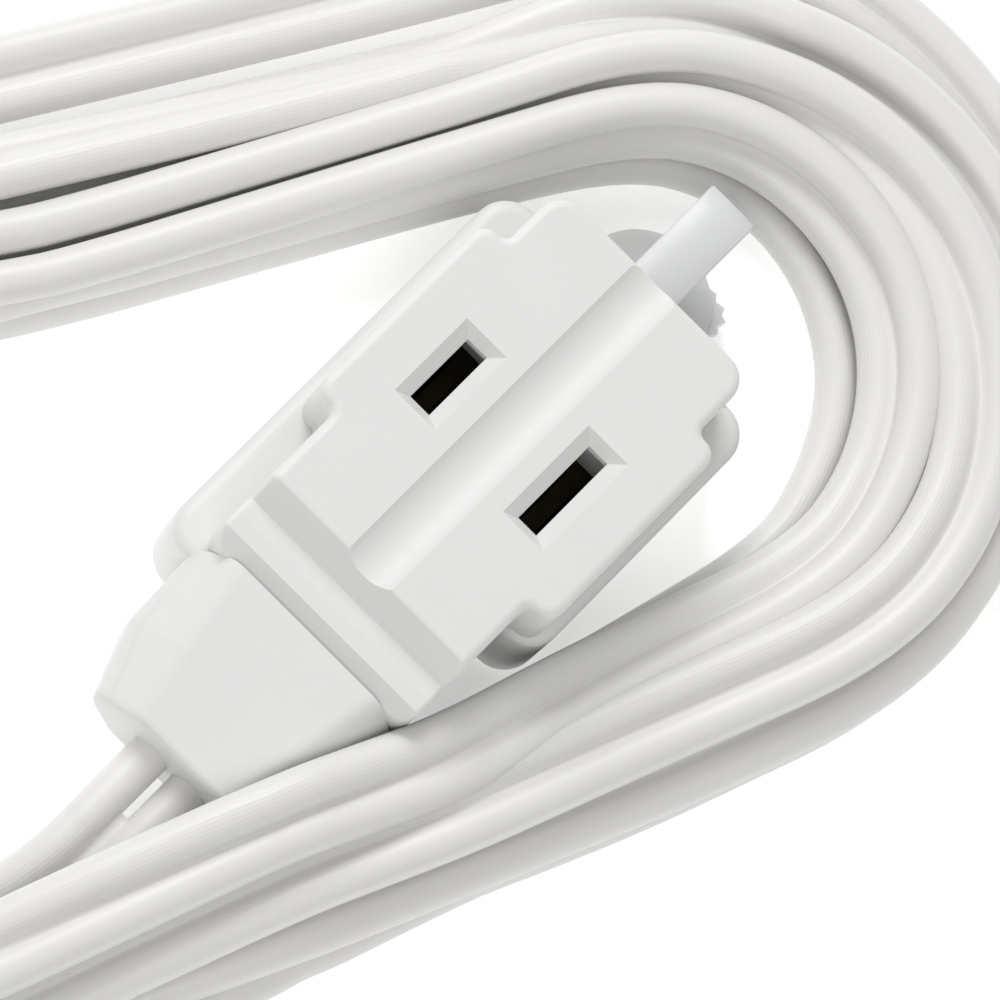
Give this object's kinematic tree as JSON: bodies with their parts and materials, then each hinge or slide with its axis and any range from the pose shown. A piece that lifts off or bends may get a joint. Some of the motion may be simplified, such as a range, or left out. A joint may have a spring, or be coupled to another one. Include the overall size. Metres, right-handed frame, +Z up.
{
  "type": "extension cord with outlet tap",
  "caption": "Light household extension cord coiled in an oval hank, with a flat polarised outlet tap lying inside it, a strap-held outlet closure, and a polarised two-blade plug.",
  "frame": {"origin": "on the surface below the middle of the tap with its closure strap", "axes": "+Y along the tap towards its free end, +Z up out of its front outlet face, +X towards the neutral slot"},
  "size_m": [0.1189, 0.2003, 0.021],
  "materials": {
    "white_plastic": "fine satin moulded texture",
    "cord_vinyl": "soft satin vinyl, fine ribs along one side",
    "plug_vinyl": "satin moulded vinyl",
    "core_plastic": "matte",
    "natural_plastic": "translucent, unpigmented",
    "tie_plastic": "white coated wire tie",
    "brass": "bright stamped",
    "blade_brass": "bright stamped, lightly scuffed",
    "copper": "bare stranded"
  },
  "bodies": {
    "cord_set": {"front_shell": "white_plastic", "rear_shell": "white_plastic", "hot_bus_strip": "brass", "neutral_bus_strip": "brass", "hot_front_jaw": "brass", "neutral_front_jaw": "brass", "hot_rear_jaw_far": "brass", "hot_rear_jaw_near": "brass", "neutral_rear_jaw_far": "brass", "neutral_rear_jaw_near": "brass", "hot_crimp_barrel": "brass", "neutral_crimp_barrel": "brass", "hot_strands": "copper", "neutral_strands": "copper", "cord_clamp": "core_plastic", "closure_strap": "natural_plastic", "hot_conductor": "cord_vinyl", "neutral_conductor": "cord_vinyl", "cord_lead": "cord_vinyl", "cord_hank": "cord_vinyl", "cord_tail": "cord_vinyl", "cord_end": "cord_vinyl", "hank_tie": "tie_plastic", "plug_body": "plug_vinyl", "plug_strain_relief": "plug_vinyl", "plug_core": "core_plastic", "plug_hot_blade": "blade_brass", "plug_neutral_blade": "blade_brass", "plug_hot_crimp_barrel": "brass", "plug_neutral_crimp_barrel": "brass", "plug_hot_strands": "copper", "plug_neutral_strands": "copper"},
    "closure": {"safety_closure": "natural_plastic"}
  },
  "joints": [
    {"name": "closure_pull", "type": "slide", "parent": "cord_set", "child": "closure", "axis": [0, 0, -1], "range_m": [0, 0.008]}
  ]
}
